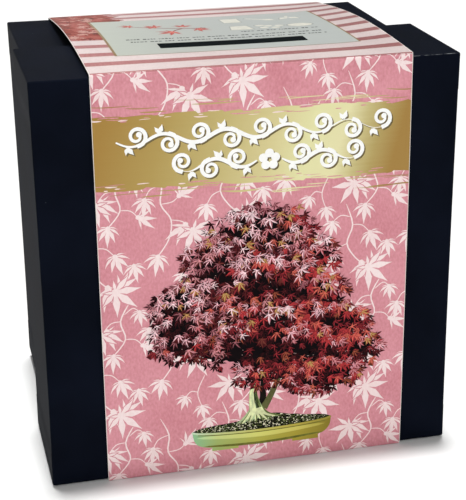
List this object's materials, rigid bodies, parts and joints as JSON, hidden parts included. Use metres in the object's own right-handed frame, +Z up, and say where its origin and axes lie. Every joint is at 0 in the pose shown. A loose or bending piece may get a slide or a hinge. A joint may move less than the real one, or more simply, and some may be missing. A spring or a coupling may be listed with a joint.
{
  "type": "boxed bonsai growing kit, gift box with card sleeve",
  "caption": "Square black telescoping gift box standing on its edge, held in a printed card sleeve that slides off sideways.",
  "frame": {"origin": "on the ground under the middle of the whole object's bounding box", "axes": "+Z up, -Y towards the viewer who faces the lid's square panel, +X to that viewer's right, along which the sleeve slides"},
  "size_m": [0.15, 0.1172, 0.1531],
  "materials": {
    "lid": "soft-touch laminated black paper over greyboard",
    "base": "soft-touch laminated black paper over greyboard",
    "sleeve": "coated art card printed pink with pale maple leaves and a gold band, white at its cut edges"
  },
  "bodies": {
    "box": {"lid": "lid", "base": "base"},
    "sleeve": {"sleeve": "sleeve"}
  },
  "joints": [
    {"name": "sleeve_slide", "type": "slide", "parent": "box", "child": "sleeve", "axis": [1, 0, 0], "range_m": [-0.14, 0.14]}
  ]
}
